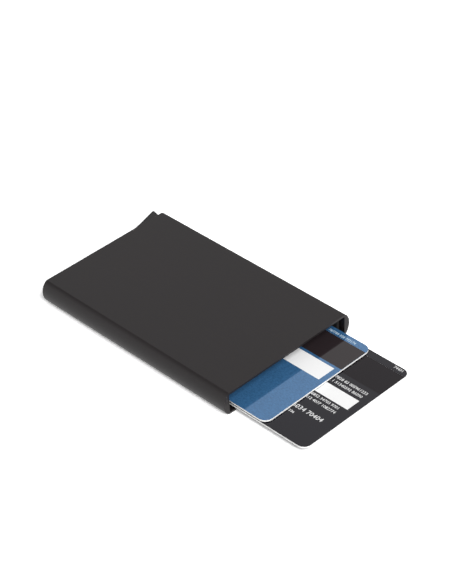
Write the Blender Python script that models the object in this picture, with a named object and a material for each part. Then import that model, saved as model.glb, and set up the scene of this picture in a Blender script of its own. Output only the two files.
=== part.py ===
"""Pop-up card holder: a flat aluminium sleeve whose finger lever pushes the cards out of its mouth.

Frame: the origin is the centre of the sleeve's flat underside, +Z is up, +Y points to the lever
end and the open mouth faces -Y. Every piece stands at the pose that the holder is stored in:
lever parked at its corner, pusher home, both cards drawn part way out.
"""

import math

import bmesh
import bpy
from mathutils import Matrix, Vector

# Fits shared by all pieces
CLEARANCE = 0.0003
OVERRUN = 0.0010

# Cards, in the size that all bank cards share
CARD_LENGTH = 0.0856
CARD_WIDTH = 0.05398
CARD_THICKNESS = 0.00076
CARD_CORNER = 0.00318
CARD_GAP = 0.00025
CARD_INSET = 0.0010
UPPER_CARD_OUT = 0.0150
LOWER_CARD_OUT = 0.0330

# Inlays of a card: magnetic stripe, signature panel and contact plate
INLAY_THICKNESS = 0.0001
INLAY_BED = 0.00005
INLAY_GAP = 0.0001
STRIPE_WIDTH = 0.0127
STRIPE_FROM_EDGE = 0.0033
PANEL_LENGTH = 0.0580
UPPER_PANEL_WIDTH = 0.0080
UPPER_PANEL_FROM_STRIPE = 0.0012
UPPER_PANEL_FROM_END = 0.0023
LOWER_PANEL_WIDTH = 0.0061
LOWER_PANEL_FROM_STRIPE = 0.0074
LOWER_PANEL_FROM_END = 0.0031
CHIP_LENGTH = 0.0130
CHIP_WIDTH = 0.0118
CHIP_FROM_END = 0.0150
CHIP_X = 0.0030
CHIP_CORNER = 0.0015

# Sleeve: an extruded tube with flat faces and bowed sides
COMPARTMENT_HEIGHT = 0.0076
PLATE_WALL = 0.0009
SIDE_INSET = 0.00005
SIDE_BULGE = 0.00255
SIDE_HALF_TURN = math.radians(75.0)
END_ROUND = 0.0003
CAVITY_CORNER = 0.0005
SIDE_STEPS = 20

# Linings: felt strips that grip the card edges, and a thin pad that the cards lie on
STRIP_THICKNESS = 0.0012
STRIP_TO_CARD = 0.00061
STRIP_FROM_MOUTH = 0.0022
STRIP_MARGIN = 0.0006
PAD_THICKNESS = 0.0003
PAD_FROM_MOUTH = 0.0060
PAD_SIDE_MARGIN = 0.0030

# Pusher: a straight bar behind the cards, with a slotted shelf that the lever drives
PUSHER_WALL = 0.0010
PUSHER_SIDE_MARGIN = 0.0001
SHELF_RIM = 0.0014

# Lever: hub, arm with a drive pin, and the fin that the finger pushes
LEVER_SWING = math.radians(24.0)
PUSH_TRAVEL = 0.0160
HUB_RADIUS = 0.0020
ARM_BAY = 0.0034
ARM_TIP_RADIUS = 0.0018
ARM_THICKNESS = 0.0019
PIN_RADIUS = 0.0008
WASHER_THICKNESS = 0.0003
WASHER_RIM = 0.0008
FIN_STAND = 0.00492
FIN_TIP_X = 0.0024
FIN_FOOT_X = 0.0013
FIN_TIP_ROUND = 0.00065
RAMP_REACH = 0.0143
HEAD_REACH = 0.0098
CORE_SETBACK = 0.0002
NECK_REACH = 0.0070

# End block and cover, which close the lever end and carry the pivot pin
REAR_WALL = 0.0014
END_PLATE = 0.0007
POST_WIDTH = 0.0042
STAKE_RADIUS = 0.0007

# Screws that hold the end block to the sleeve's underside
SCREW_RADIUS = 0.0006
SCREW_HEAD_RADIUS = 0.0012
SCREW_HEAD_HEIGHT = 0.0006
SCREW_SINK = 0.0001
SCREW_TIP_COVER = 0.0005

# Fineness of the round shapes
WELD = 0.000002
ROUND_FACE_WIDTH = 0.0016
ROUND_STEPS = 32
SMALL_ROUND_STEPS = 20
FILLET_STEPS = 6
SMOOTH_ANGLE = math.radians(35.0)

# Places along the sleeve, worked out from the sizes above
PUSHER_FRONT_FROM_MOUTH = CARD_INSET + CARD_LENGTH + CLEARANCE
PIVOT_FROM_MOUTH = PUSHER_FRONT_FROM_MOUTH + PUSHER_WALL + CLEARANCE + HUB_RADIUS
SLEEVE_LENGTH = PIVOT_FROM_MOUTH + ARM_BAY + REAR_WALL
MOUTH_Y = -SLEEVE_LENGTH / 2
REAR_Y = SLEEVE_LENGTH / 2
REAR_WALL_Y = REAR_Y - REAR_WALL
PUSHER_FRONT_Y = MOUTH_Y + PUSHER_FRONT_FROM_MOUTH
PIVOT_Y = MOUTH_Y + PIVOT_FROM_MOUTH
BLOCK_FRONT_Y = PIVOT_Y - HUB_RADIUS + CLEARANCE
POST_FRONT_Y = BLOCK_FRONT_Y + CLEARANCE
POST_Y = (POST_FRONT_Y + REAR_WALL_Y) / 2

# Places across the sleeve
INNER_HALF = CARD_WIDTH / 2 + STRIP_TO_CARD + STRIP_THICKNESS + CLEARANCE
CREASE_HALF = INNER_HALF + SIDE_INSET
PIVOT_X = INNER_HALF - CLEARANCE - HUB_RADIUS
DRIVE_RADIUS = PUSH_TRAVEL / math.sin(LEVER_SWING)
DRIVE_X = PIVOT_X - DRIVE_RADIUS
DRIVE_SHIFT = DRIVE_RADIUS * (1 - math.cos(LEVER_SWING))
DRIVE_SLOT_RADIUS = PIN_RADIUS + CLEARANCE
SHELF_LEFT_X = DRIVE_X - DRIVE_SLOT_RADIUS - SHELF_RIM
SHELF_RIGHT_X = DRIVE_X + DRIVE_SHIFT + DRIVE_SLOT_RADIUS + SHELF_RIM
BLOCK_HALF = INNER_HALF - CLEARANCE
OPENING_X = PIVOT_X - math.hypot(RAMP_REACH, REAR_Y - PIVOT_Y + CLEARANCE) - CLEARANCE
LEFT_POST_X = -BLOCK_HALF + POST_WIDTH / 2
LOW_POST_LEFT_X = SHELF_RIGHT_X + SHELF_RIM
LOW_POST_X = (LOW_POST_LEFT_X + OPENING_X) / 2

# Heights
SLEEVE_THICKNESS = COMPARTMENT_HEIGHT + 2 * PLATE_WALL
FLOOR_Z = PLATE_WALL
CEILING_Z = SLEEVE_THICKNESS - PLATE_WALL
INSIDE_LOW_Z = FLOOR_Z + CLEARANCE
INSIDE_HIGH_Z = CEILING_Z - CLEARANCE
FLOOR_PLATE_Z = INSIDE_LOW_Z + END_PLATE
COVER_Z = INSIDE_HIGH_Z - END_PLATE
MOVING_LOW_Z = FLOOR_PLATE_Z + CLEARANCE
MOVING_HIGH_Z = COVER_Z - CLEARANCE
HUB_LOW_Z = MOVING_LOW_Z + WASHER_THICKNESS + CLEARANCE
HUB_HIGH_Z = MOVING_HIGH_Z - WASHER_THICKNESS - CLEARANCE
ARM_LOW_Z = HUB_HIGH_Z - ARM_THICKNESS
SHELF_HIGH_Z = ARM_LOW_Z - CLEARANCE
SCREW_BORE_Z = SHELF_HIGH_Z - SCREW_TIP_COVER
LOWER_CARD_Z = INSIDE_LOW_Z + PAD_THICKNESS + CARD_GAP
UPPER_CARD_Z = LOWER_CARD_Z + CARD_THICKNESS + CARD_GAP


def clear_scene():
    """Empty the scene that the script starts in."""
    for item in list(bpy.context.scene.objects):
        bpy.data.objects.remove(item, do_unlink=True)


def make_material(name, colour, roughness, metallic=0.0):
    """Return a Principled material."""
    material = bpy.data.materials.new(name)
    material.use_nodes = True
    shader = material.node_tree.nodes["Principled BSDF"]
    shader.inputs["Base Color"].default_value = (*colour, 1.0)
    shader.inputs["Roughness"].default_value = roughness
    shader.inputs["Metallic"].default_value = metallic
    material.diffuse_color = (*colour, 1.0)
    return material


def to_mesh(name, bm):
    """Turn a bmesh into a mesh with its faces out, its flat faces flat and its round faces smooth."""
    bmesh.ops.recalc_face_normals(bm, faces=bm.faces)
    for face in bm.faces:
        longest = max(edge.calc_length() for edge in face.edges)
        narrow = face.calc_area() < longest * ROUND_FACE_WIDTH
        face.smooth = narrow and any(edge.calc_face_angle(math.pi) < SMOOTH_ANGLE for edge in face.edges)
    for edge in bm.edges:
        edge.smooth = edge.calc_face_angle(math.pi) < SMOOTH_ANGLE
    mesh = bpy.data.meshes.new(name)
    bm.to_mesh(mesh)
    bm.free()
    return mesh


def add_object(name, bm, material, place=(0, 0, 0)):
    """Link a sub-part made from a bmesh, with its origin at place."""
    item = bpy.data.objects.new(name, to_mesh(name, bm))
    item.location = place
    item.data.materials.append(material)
    bpy.context.scene.collection.objects.link(item)
    return item


def add_boolean(target, bm, operation, name):
    """Join a solid to a sub-part, or cut it out, with a hidden tool object that shares its origin."""
    tool = bpy.data.objects.new(f"{target.name}_{name}", to_mesh(name, bm))
    tool.location = target.location
    tool.hide_render = True
    tool.display_type = "WIRE"
    bpy.context.scene.collection.objects.link(tool)
    modifier = target.modifiers.new(name, "BOOLEAN")
    modifier.operation = operation
    modifier.solver = "EXACT"
    modifier.object = tool


def prism(outline, low, high):
    """Return a bmesh of an outline in X and Y, raised from low to high."""
    bm = bmesh.new()
    corners = [bm.verts.new((x, y, low)) for x, y in outline]
    base = bm.faces.new(corners)
    raised = bmesh.ops.extrude_face_region(bm, geom=[base])
    verts = [v for v in raised["geom"] if isinstance(v, bmesh.types.BMVert)]
    bmesh.ops.translate(bm, vec=(0, 0, high - low), verts=verts)
    return bm


def bar(x_range, y_range, z_range):
    """Return a bmesh of a plain block between three pairs of limits."""
    (x0, x1), (y0, y1) = x_range, y_range
    return prism([(x0, y0), (x1, y0), (x1, y1), (x0, y1)], *z_range)


def lathe(profile, steps=SMALL_ROUND_STEPS):
    """Return a bmesh turned about Z from (radius, height) points that start and end on the axis."""
    bm = bmesh.new()
    verts = [bm.verts.new((radius, 0, height)) for radius, height in profile]
    edges = [bm.edges.new(pair) for pair in zip(verts, verts[1:])]
    bmesh.ops.spin(bm, geom=verts + edges, cent=(0, 0, 0), axis=(0, 0, 1), angle=math.tau, steps=steps,
                   use_merge=True)
    bmesh.ops.remove_doubles(bm, verts=bm.verts, dist=WELD)
    return bm


def cylinder(radius, low, high, centre=(0, 0), steps=SMALL_ROUND_STEPS):
    """Return a bmesh of an upright cylinder."""
    return prism(circle(centre, radius, steps), low, high)


def circle(centre, radius, steps=ROUND_STEPS):
    """Return the points of a circle."""
    turns = [math.tau * index / steps for index in range(steps)]
    return [(centre[0] + radius * math.cos(turn), centre[1] + radius * math.sin(turn)) for turn in turns]


def capsule(left, right, left_radius, right_radius):
    """Return the outline of a slot or arm with a round end about each of two centres."""
    points = []
    for centre, radius, first in ((right, right_radius, -math.pi / 2), (left, left_radius, math.pi / 2)):
        for index in range(ROUND_STEPS // 2 + 1):
            turn = first + math.tau * index / ROUND_STEPS
            points.append((centre[0] + radius * math.cos(turn), centre[1] + radius * math.sin(turn)))
    return points


def filleted(corners, radii):
    """Return an outline whose corners are rounded, each by its own radius."""
    points = []
    for index, (corner, radius) in enumerate(zip(corners, radii)):
        here = Vector(corner)
        back = (Vector(corners[index - 1]) - here).normalized()
        ahead = (Vector(corners[(index + 1) % len(corners)]) - here).normalized()
        if not radius:
            points.append(tuple(here))
            continue
        half = back.angle(ahead) / 2
        centre = here + (back + ahead).normalized() * (radius / math.sin(half))
        first = here + back * (radius / math.tan(half)) - centre
        last = here + ahead * (radius / math.tan(half)) - centre
        sweep = last.angle_signed(first)
        for step in range(FILLET_STEPS + 1):
            spoke = Matrix.Rotation(sweep * step / FILLET_STEPS, 2) @ first
            points.append(tuple(centre + spoke))
    return points


def rounded_rectangle(width, length, radius, centre=(0, 0)):
    """Return the outline of a rectangle with equal round corners."""
    x, y = centre
    corners = [
        (x - width / 2, y - length / 2),
        (x + width / 2, y - length / 2),
        (x + width / 2, y + length / 2),
        (x - width / 2, y + length / 2),
    ]
    return filleted(corners, [radius] * len(corners))


def lie_along_y(bm, centre_y):
    """Turn a solid raised along Z, so that it runs along Y about centre_y."""
    turn = Matrix.Rotation(math.pi / 2, 4, "X")
    bmesh.ops.transform(bm, matrix=Matrix.Translation((0, centre_y, 0)) @ turn, verts=bm.verts)
    return bm


def sleeve_outline():
    """Return the sleeve's outer section in X and Z: flat faces, and sides that bow out as elliptic arcs."""
    half_height = SLEEVE_THICKNESS / 2
    rise = half_height / math.sin(SIDE_HALF_TURN)
    depth = SIDE_BULGE / (1 - math.cos(SIDE_HALF_TURN))
    points = []
    for side in (1, -1):
        for index in range(SIDE_STEPS + 1):
            turn = SIDE_HALF_TURN * (2 * index / SIDE_STEPS - 1)
            x = side * (CREASE_HALF + SIDE_BULGE - depth + depth * math.cos(turn))
            points.append((x, half_height + side * rise * math.sin(turn)))
    return points


def make_sleeve(material):
    """Make the extruded sleeve with its open ends and the countersunk holes in its underside."""
    outer = lie_along_y(prism(sleeve_outline(), -SLEEVE_LENGTH / 2, SLEEVE_LENGTH / 2), 0)
    rims = [edge for edge in outer.edges if abs(edge.verts[0].co.y - edge.verts[1].co.y) < CLEARANCE]
    bmesh.ops.bevel(outer, geom=rims, offset=END_ROUND, offset_type="OFFSET", segments=2, profile=0.5,
                    affect="EDGES", material=-1)
    sleeve = add_object("case_shell", outer, material)
    section = rounded_rectangle(2 * INNER_HALF, COMPARTMENT_HEIGHT, CAVITY_CORNER, (0, SLEEVE_THICKNESS / 2))
    half_cut = SLEEVE_LENGTH / 2 + OVERRUN
    add_boolean(sleeve, lie_along_y(prism(section, -half_cut, half_cut), 0), "DIFFERENCE", "cavity")
    for index, (x, y) in enumerate(screw_places()):
        hole = lathe(countersink_profile())
        bmesh.ops.translate(hole, vec=(x, y, 0), verts=hole.verts)
        add_boolean(sleeve, hole, "DIFFERENCE", f"screw_hole_{index + 1}")
    return sleeve


def screw_places():
    """Return where the two screws stand: in the left post and in the low post."""
    return [(LEFT_POST_X, POST_Y), (LOW_POST_X, POST_Y)]


def countersink_profile():
    """Return the turned profile that cuts a screw's hole and its countersink."""
    head = SCREW_HEAD_RADIUS + CLEARANCE
    shank = SCREW_RADIUS + CLEARANCE
    cone_top = SCREW_SINK + SCREW_HEAD_HEIGHT
    return [(0, -OVERRUN), (head, -OVERRUN), (head, SCREW_SINK), (shank, cone_top),
            (shank, PLATE_WALL + OVERRUN), (0, PLATE_WALL + OVERRUN)]


def screw_profile():
    """Return the turned profile of a countersunk screw."""
    cone_top = SCREW_SINK + SCREW_HEAD_HEIGHT
    tip = SCREW_BORE_Z - CLEARANCE
    return [(0, SCREW_SINK), (SCREW_HEAD_RADIUS, SCREW_SINK), (SCREW_RADIUS, cone_top),
            (SCREW_RADIUS, tip), (0, tip)]


def make_screws(material):
    """Make the two equal countersunk screws."""
    for name, (x, y) in zip(("end_screw_left", "end_screw_middle"), screw_places()):
        add_object(name, lathe(screw_profile()), material, (x, y, 0))


def make_linings(felt, pad):
    """Make the felt strip on each inner side wall, and the pad on the floor under the cards."""
    strip_y = (MOUTH_Y + STRIP_FROM_MOUTH, PUSHER_FRONT_Y - STRIP_MARGIN)
    strip_z = (FLOOR_Z + STRIP_MARGIN, CEILING_Z - STRIP_MARGIN)
    near = CARD_WIDTH / 2 + STRIP_TO_CARD
    far = near + STRIP_THICKNESS
    add_object("left_friction_strip", bar((-far, -near), strip_y, strip_z), felt)
    add_object("right_friction_strip", bar((near, far), strip_y, strip_z), felt)
    pad_half = CARD_WIDTH / 2 - PAD_SIDE_MARGIN
    pad_y = (MOUTH_Y + PAD_FROM_MOUTH, PUSHER_FRONT_Y - PUSH_TRAVEL - STRIP_MARGIN)
    pad_z = (INSIDE_LOW_Z, INSIDE_LOW_Z + PAD_THICKNESS)
    add_object("glide_pad", bar((-pad_half, pad_half), pad_y, pad_z), pad)


def plate_outline(rear_y):
    """Return the outline that floor plate and cover share: a wide left part and a strip to the pivot."""
    return [
        (-BLOCK_HALF, BLOCK_FRONT_Y),
        (PIVOT_X, BLOCK_FRONT_Y),
        (PIVOT_X, PIVOT_Y),
        (OPENING_X, PIVOT_Y),
        (OPENING_X, rear_y),
        (-BLOCK_HALF, rear_y),
    ]


def add_lug(plate, low, high):
    """Give a plate its round lug with the bore for the pivot pin."""
    pivot = (PIVOT_X, PIVOT_Y)
    add_boolean(plate, cylinder(HUB_RADIUS, low, high, pivot, ROUND_STEPS), "UNION", "lug")
    bore = cylinder(PIN_RADIUS + CLEARANCE, low - OVERRUN, high + OVERRUN, pivot)
    add_boolean(plate, bore, "DIFFERENCE", "pivot_bore")


def make_end_block(material):
    """Make the block that closes the rear: floor plate, rear wall, two posts and a stake for the cover."""
    block = add_object("end_block", prism(plate_outline(REAR_Y), INSIDE_LOW_Z, FLOOR_PLATE_Z), material)
    wall = bar((-BLOCK_HALF, OPENING_X), (REAR_WALL_Y, REAR_Y), (INSIDE_LOW_Z, INSIDE_HIGH_Z))
    add_boolean(block, wall, "UNION", "rear_wall")
    post_y = (POST_FRONT_Y, REAR_WALL_Y + REAR_WALL / 2)
    left_post = bar((-BLOCK_HALF, -BLOCK_HALF + POST_WIDTH), post_y, (INSIDE_LOW_Z, MOVING_HIGH_Z))
    add_boolean(block, left_post, "UNION", "left_post")
    low_post = bar((LOW_POST_LEFT_X, OPENING_X - CLEARANCE), post_y, (INSIDE_LOW_Z, SHELF_HIGH_Z))
    add_boolean(block, low_post, "UNION", "low_post")
    stake = cylinder(STAKE_RADIUS, MOVING_HIGH_Z - OVERRUN, INSIDE_HIGH_Z, (LEFT_POST_X, POST_Y))
    add_boolean(block, stake, "UNION", "stake")
    add_lug(block, INSIDE_LOW_Z, FLOOR_PLATE_Z)
    for index, place in enumerate(screw_places()):
        hole = cylinder(SCREW_RADIUS + CLEARANCE, INSIDE_LOW_Z - OVERRUN, SCREW_BORE_Z, place)
        add_boolean(block, hole, "DIFFERENCE", f"screw_bore_{index + 1}")
    return block


def make_cover(material):
    """Make the cover plate over the lever, held by the stake and the pivot pin."""
    outline = plate_outline(REAR_WALL_Y - CLEARANCE)
    cover = add_object("end_cover", prism(outline, COVER_Z, INSIDE_HIGH_Z), material)
    add_lug(cover, COVER_Z, INSIDE_HIGH_Z)
    hole_radius = STAKE_RADIUS + CLEARANCE
    hole = cylinder(hole_radius, COVER_Z - OVERRUN, INSIDE_HIGH_Z + OVERRUN, (LEFT_POST_X, POST_Y))
    add_boolean(cover, hole, "DIFFERENCE", "stake_hole")
    return cover


def make_pivot(steel, nylon):
    """Make the pivot pin, and a washer below and above the lever's hub."""
    place = (PIVOT_X, PIVOT_Y, 0)
    add_object("pivot_pin", cylinder(PIN_RADIUS, INSIDE_LOW_Z, INSIDE_HIGH_Z), steel, place)
    bore = PIN_RADIUS + CLEARANCE
    lower = ring(bore, WASHER_RIM, MOVING_LOW_Z, MOVING_LOW_Z + WASHER_THICKNESS)
    add_object("pivot_washer_lower", lower, nylon, place)
    upper = ring(bore, WASHER_RIM, MOVING_HIGH_Z - WASHER_THICKNESS, MOVING_HIGH_Z)
    add_object("pivot_washer_upper", upper, nylon, place)


def ring(bore, rim, low, high, steps=ROUND_STEPS):
    """Return a bmesh of a flat ring."""
    bm = bmesh.new()
    loops = []
    for radius, height in ((bore, low), (bore + rim, low), (bore + rim, high), (bore, high)):
        loops.append([bm.verts.new((x, y, height)) for x, y in circle((0, 0), radius, steps)])
    for index, loop in enumerate(loops):
        following = loops[(index + 1) % len(loops)]
        for step in range(steps):
            ahead = (step + 1) % steps
            bm.faces.new((loop[step], loop[ahead], following[ahead], following[step]))
    return bm


def fin_outline(reach, setback, foot_y):
    """Return the fin's outline about the pivot: a long ramp, a round tip and a steep push face."""
    rear = REAR_Y - PIVOT_Y
    run = RAMP_REACH + FIN_TIP_X
    rise = FIN_STAND - CLEARANCE
    start_y = rear + CLEARANCE + rise * (RAMP_REACH - reach) / run
    tip_y = rear + FIN_STAND
    corners = [
        (-reach, foot_y),
        (FIN_FOOT_X - setback, foot_y),
        (FIN_TIP_X - setback, tip_y - setback),
        (-reach, start_y - setback),
    ]
    return filleted(corners, [0, 0, FIN_TIP_ROUND, 0])


def make_lever(material):
    """Make the lever about its pivot: hub, neck, ramp, full-height fin head and the arm to the drive pin."""
    rear = REAR_Y - PIVOT_Y
    bottom, top = HUB_LOW_Z, HUB_HIGH_Z
    lever = add_object("eject_lever", cylinder(HUB_RADIUS, bottom, top, (0, 0), ROUND_STEPS), material,
                       (PIVOT_X, PIVOT_Y, 0))
    neck = [(0, 0), (FIN_FOOT_X - CORE_SETBACK, 0), (FIN_FOOT_X - CORE_SETBACK, rear), (-NECK_REACH, rear)]
    add_boolean(lever, prism(neck, bottom, top), "UNION", "neck")
    core = fin_outline(RAMP_REACH, CORE_SETBACK, ARM_BAY)
    add_boolean(lever, prism(core, MOVING_LOW_Z, MOVING_HIGH_Z), "UNION", "ramp")
    head = fin_outline(HEAD_REACH, 0, rear + CLEARANCE)
    add_boolean(lever, prism(head, INSIDE_LOW_Z, INSIDE_HIGH_Z), "UNION", "fin_head")
    arm = capsule((-DRIVE_RADIUS, 0), (0, 0), ARM_TIP_RADIUS, HUB_RADIUS)
    add_boolean(lever, prism(arm, ARM_LOW_Z, top), "UNION", "arm")
    bore = cylinder(PIN_RADIUS + CLEARANCE, bottom - OVERRUN, top + OVERRUN)
    add_boolean(lever, bore, "DIFFERENCE", "bore")
    socket = cylinder(PIN_RADIUS + CLEARANCE, ARM_LOW_Z - OVERRUN, top + OVERRUN, (-DRIVE_RADIUS, 0))
    add_boolean(lever, socket, "DIFFERENCE", "drive_socket")
    return lever


def make_drive_pin(material):
    """Make the pin that hangs from the arm into the pusher's slot."""
    low = MOVING_LOW_Z + CLEARANCE
    return add_object("drive_pin", cylinder(PIN_RADIUS, low, HUB_HIGH_Z, (-DRIVE_RADIUS, 0)), material,
                      (PIVOT_X, PIVOT_Y, 0))


def make_pusher(material):
    """Make the pusher: a wall across the sleeve that bears on the cards, and the slotted shelf behind it."""
    half = CARD_WIDTH / 2 - PUSHER_SIDE_MARGIN
    wall = bar((-half, half), (0, PUSHER_WALL), (INSIDE_LOW_Z, MOVING_HIGH_Z))
    pusher = add_object("card_pusher", wall, material, (0, PUSHER_FRONT_Y, 0))
    slot_y = PIVOT_Y - PUSHER_FRONT_Y
    shelf_y = (PUSHER_WALL / 2, slot_y + DRIVE_SLOT_RADIUS + SHELF_RIM)
    shelf = bar((SHELF_LEFT_X, SHELF_RIGHT_X), shelf_y, (MOVING_LOW_Z, SHELF_HIGH_Z))
    add_boolean(pusher, shelf, "UNION", "shelf")
    slot = capsule((DRIVE_X, slot_y), (DRIVE_X + DRIVE_SHIFT, slot_y), DRIVE_SLOT_RADIUS, DRIVE_SLOT_RADIUS)
    cut = prism(slot, MOVING_LOW_Z - OVERRUN, SHELF_HIGH_Z + OVERRUN)
    add_boolean(pusher, cut, "DIFFERENCE", "drive_slot")
    return pusher


def make_card(name, out, bottom_z, panel_width, panel_gaps, materials):
    """Make a card drawn out of the mouth by out, with its stripe, signature panel and contact plate."""
    centre = (0, MOUTH_Y - out + CARD_LENGTH / 2, bottom_z)
    outline = rounded_rectangle(CARD_WIDTH, CARD_LENGTH, CARD_CORNER)
    card = add_object(name, prism(outline, 0, CARD_THICKNESS), materials["body"], centre)
    end = -CARD_LENGTH / 2
    stripe_x = CARD_WIDTH / 2 - STRIPE_FROM_EDGE - STRIPE_WIDTH / 2
    stripe = ((stripe_x, 0), (STRIPE_WIDTH, CARD_LENGTH), 0)
    from_stripe, from_end = panel_gaps
    panel_x = stripe_x - STRIPE_WIDTH / 2 - from_stripe - panel_width / 2
    panel = ((panel_x, end + from_end + PANEL_LENGTH / 2), (panel_width, PANEL_LENGTH), 0)
    chip = ((CHIP_X, end + CHIP_FROM_END), (CHIP_WIDTH, CHIP_LENGTH), CHIP_CORNER)
    for label, inlay in (("stripe", stripe), ("signature_panel", panel), ("chip", chip)):
        (x, y), (width, length), corner = inlay
        on_top = label != "chip"
        z_low = CARD_THICKNESS - INLAY_THICKNESS if on_top else 0
        piece = prism(rounded_rectangle(width, length, corner, (x, y)), z_low, z_low + INLAY_THICKNESS)
        add_object(f"{name}_{label}", piece, materials[label], centre)
        through = OVERRUN if label == "stripe" else INLAY_GAP
        pocket_outline = rounded_rectangle(width + 2 * INLAY_GAP, length + 2 * through, corner, (x, y))
        if on_top:
            pocket = prism(pocket_outline, z_low - INLAY_BED, CARD_THICKNESS + OVERRUN)
        else:
            pocket = prism(pocket_outline, -OVERRUN, INLAY_THICKNESS + INLAY_BED)
        add_boolean(card, pocket, "DIFFERENCE", f"{label}_pocket")
    return card


def build():
    """Make every piece of the holder."""
    clear_scene()
    anodised = make_material("anodised_aluminium", (0.035, 0.034, 0.036), 0.45, 0.6)
    black_plastic = make_material("black_plastic", (0.02, 0.02, 0.021), 0.5)
    steel = make_material("steel", (0.55, 0.55, 0.56), 0.35, 1.0)
    nylon = make_material("nylon", (0.75, 0.74, 0.7), 0.5)
    felt = make_material("felt", (0.02, 0.02, 0.02), 0.95)
    upper = {
        "body": make_material("blue_card", (0.06, 0.2, 0.36), 0.25),
        "stripe": make_material("upper_stripe", (0.05, 0.045, 0.045), 0.3),
        "signature_panel": make_material("upper_panel", (0.85, 0.85, 0.85), 0.6),
        "chip": make_material("upper_contacts", (0.75, 0.6, 0.3), 0.3, 1.0),
    }
    lower = {
        "body": make_material("black_card", (0.045, 0.045, 0.05), 0.35),
        "stripe": make_material("lower_stripe", (0.03, 0.03, 0.033), 0.3),
        "signature_panel": make_material("lower_panel", (0.85, 0.85, 0.85), 0.6),
        "chip": make_material("lower_contacts", (0.75, 0.6, 0.3), 0.3, 1.0),
    }
    make_sleeve(anodised)
    make_linings(felt, nylon)
    make_end_block(black_plastic)
    make_cover(black_plastic)
    make_screws(steel)
    make_pivot(steel, nylon)
    make_lever(black_plastic)
    make_drive_pin(steel)
    make_pusher(black_plastic)
    upper_gaps = (UPPER_PANEL_FROM_STRIPE, UPPER_PANEL_FROM_END)
    make_card("upper_card", UPPER_CARD_OUT, UPPER_CARD_Z, UPPER_PANEL_WIDTH, upper_gaps, upper)
    lower_gaps = (LOWER_PANEL_FROM_STRIPE, LOWER_PANEL_FROM_END)
    make_card("lower_card", LOWER_CARD_OUT, LOWER_CARD_Z, LOWER_PANEL_WIDTH, lower_gaps, lower)


build()
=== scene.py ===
"""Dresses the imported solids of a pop-up card holder: a black anodised sleeve with two bank cards.

The scene keeps the frame of the solids. Sizes are in metres, the origin is the centre of the sleeve's
flat underside, +Z is up, +Y points to the lever end, and the open mouth faces -Y.
"""

import logging
import math
import random
from collections.abc import Mapping, Sequence
from dataclasses import dataclass, replace
from enum import Enum

import bmesh
import bpy
from mathutils import Matrix, Vector


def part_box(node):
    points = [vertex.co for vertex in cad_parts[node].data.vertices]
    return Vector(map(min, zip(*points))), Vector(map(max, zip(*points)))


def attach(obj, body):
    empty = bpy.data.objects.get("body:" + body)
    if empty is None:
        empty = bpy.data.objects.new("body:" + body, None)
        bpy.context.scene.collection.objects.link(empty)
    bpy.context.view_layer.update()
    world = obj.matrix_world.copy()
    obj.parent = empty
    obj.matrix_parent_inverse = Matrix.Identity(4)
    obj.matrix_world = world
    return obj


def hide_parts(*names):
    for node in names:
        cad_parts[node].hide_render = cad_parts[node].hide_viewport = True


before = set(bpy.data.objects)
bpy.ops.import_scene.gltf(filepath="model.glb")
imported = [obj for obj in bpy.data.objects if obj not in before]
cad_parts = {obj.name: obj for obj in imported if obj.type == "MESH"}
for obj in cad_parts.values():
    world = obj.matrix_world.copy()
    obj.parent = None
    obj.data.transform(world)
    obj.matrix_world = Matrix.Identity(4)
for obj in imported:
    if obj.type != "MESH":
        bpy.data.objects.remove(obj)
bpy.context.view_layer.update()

LOG = logging.getLogger("card_holder")

WELD = 0.0000005
FLAT_ANGLE = math.radians(1.0)
SMOOTH_ANGLE = math.radians(35.0)
FACES_DOWN = -0.9
ROUND_STEPS = 64
FILLET_STEPS = 8
FINE_STEPS = 2
SOFT_STEPS = 3
BROAD_STEPS = 4
WHITE = (1.0, 1.0, 1.0)

Colour = tuple[float, float, float]
Corner = tuple[float, float, float]
Triple = tuple[float, float, float]
Point = tuple[float, float]
Span = tuple[float, float]


class Body(Enum):
    """The rigid bodies of the frame."""

    CASE = "case"
    PUSHER = "pusher"
    LEVER = "lever"
    UPPER_CARD = "upper_card"
    LOWER_CARD = "lower_card"


class Slot(Enum):
    """The record's material slots."""

    SHELL = "anodised_shell"
    FELT = "felt"
    NYLON = "nylon"
    PLASTIC = "black_plastic"
    STEEL = "steel"
    BLUE_CARD = "blue_card"
    BLACK_CARD = "black_card"
    STRIPE = "card_stripe"
    PANEL = "signature_panel"
    CONTACTS = "contacts"


class Merge(Enum):
    """The ways to work one solid into another."""

    JOIN = "UNION"
    CUT = "DIFFERENCE"


class Affect(Enum):
    """What a bevel works on."""

    CORNERS = "VERTICES"
    EDGES = "EDGES"


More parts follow.
